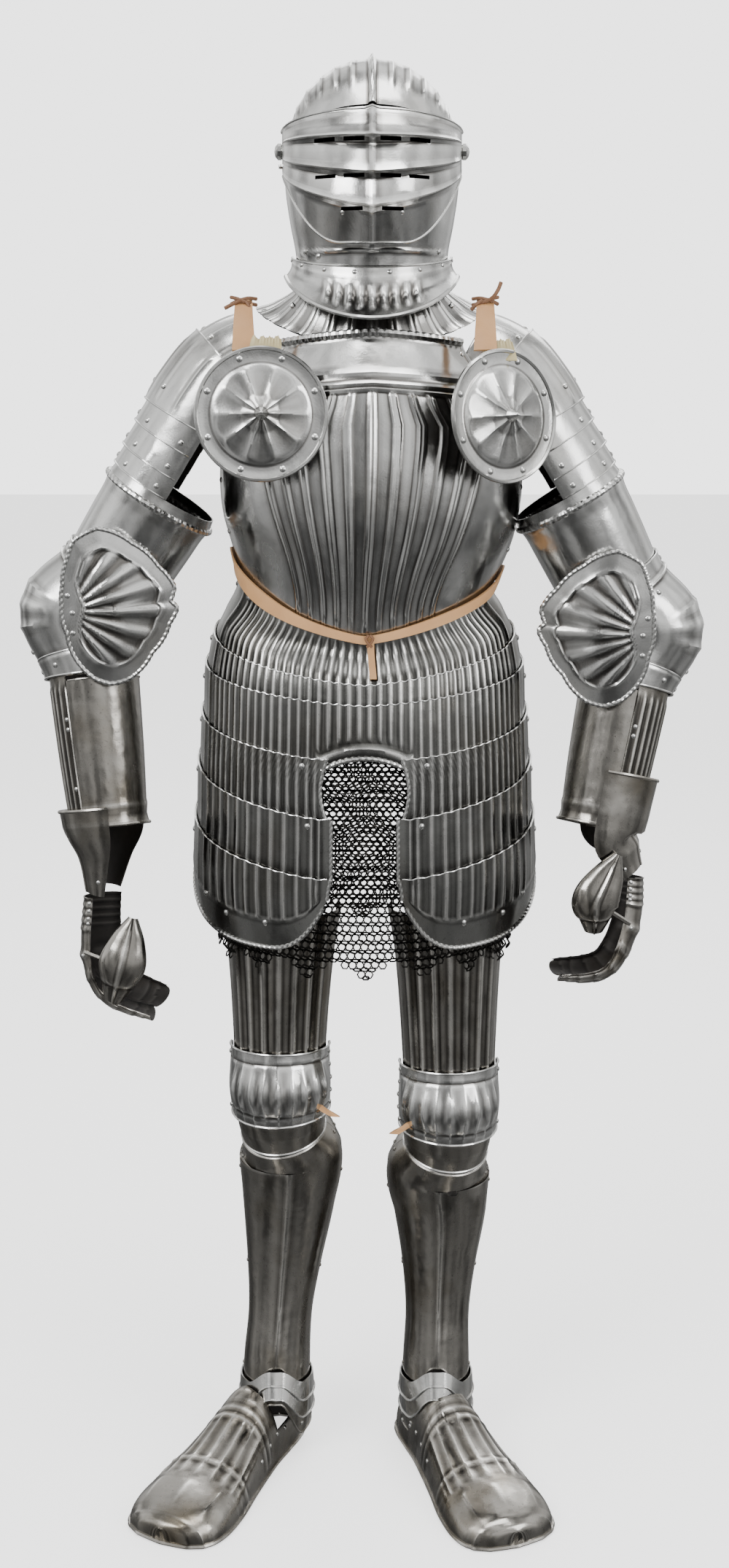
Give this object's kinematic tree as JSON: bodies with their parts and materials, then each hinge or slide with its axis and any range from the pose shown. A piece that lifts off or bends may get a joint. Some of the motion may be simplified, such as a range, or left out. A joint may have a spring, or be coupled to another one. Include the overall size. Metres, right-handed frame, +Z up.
{
  "type": "suit of plate armour",
  "caption": "Full suit of fluted plate armour with closed helmet, bellows visor, round armpit plates, fan-shaped elbow plates, hip lames, mail skirt and blunt foot plates.",
  "frame": {"origin": "in the middle of the torso between the shoulders, where the wearer carries the suit, 1420 mm above the floor", "axes": "+Z up along the standing suit, -Y the way the suit faces, +X the wearer's left"},
  "size_m": [0.8588, 0.4439, 1.7983],
  "materials": {
    "steel": "hand-polished, fluted, slightly uneven",
    "dark_steel": "polished but darker, with brown-grey patina and pitting",
    "mail": "dark linked rings, worn shiny on the outside",
    "leather": "plain undyed tan strap leather, matt"
  },
  "bodies": {
    "suit": {"backplate": "steel", "besagew_left": "steel", "besagew_right": "steel", "besagew_strap_left": "leather", "besagew_strap_right": "leather", "breastplate": "steel", "couter_left": "steel", "couter_right": "steel", "cuisse_left": "dark_steel", "cuisse_right": "dark_steel", "culet": "steel", "elbow_wing_left": "steel", "elbow_wing_right": "steel", "fauld_1": "steel", "fauld_2": "steel", "fauld_3": "steel", "gauntlet_cuff_left": "dark_steel", "gauntlet_cuff_right": "dark_steel", "gauntlet_hand_left": "dark_steel", "gauntlet_hand_right": "dark_steel", "gorget": "steel", "greave_back_left": "dark_steel", "greave_back_right": "dark_steel", "greave_front_left": "dark_steel", "greave_front_right": "dark_steel", "helmet_bevor": "steel", "helmet_collar": "steel", "helmet_skull": "steel", "mail_skirt": "mail", "pauldron_left_1": "steel", "pauldron_left_2": "steel", "pauldron_left_3": "steel", "pauldron_left_4": "steel", "pauldron_left_5": "steel", "pauldron_right_1": "steel", "pauldron_right_2": "steel", "pauldron_right_3": "steel", "pauldron_right_4": "steel", "pauldron_right_5": "steel", "poleyn_lame_left": "dark_steel", "poleyn_lame_right": "dark_steel", "poleyn_left": "steel", "poleyn_right": "steel", "rerebrace_left": "steel", "rerebrace_right": "steel", "sabaton_left": "dark_steel", "sabaton_right": "dark_steel", "tasset_left_1": "steel", "tasset_left_2": "steel", "tasset_left_3": "steel", "tasset_right_1": "steel", "tasset_right_2": "steel", "tasset_right_3": "steel", "vambrace_inner_left": "dark_steel", "vambrace_inner_right": "dark_steel", "vambrace_outer_left": "dark_steel", "vambrace_outer_right": "dark_steel", "waist_belt": "leather"},
    "visor_body": {"visor": "steel"}
  },
  "joints": [
    {"name": "visor_pivot", "type": "hinge", "parent": "suit", "child": "visor_body", "pos_m": [0.009, 0, 0.266], "axis": [-1, 0, 0], "range_deg": [0, 60]}
  ]
}
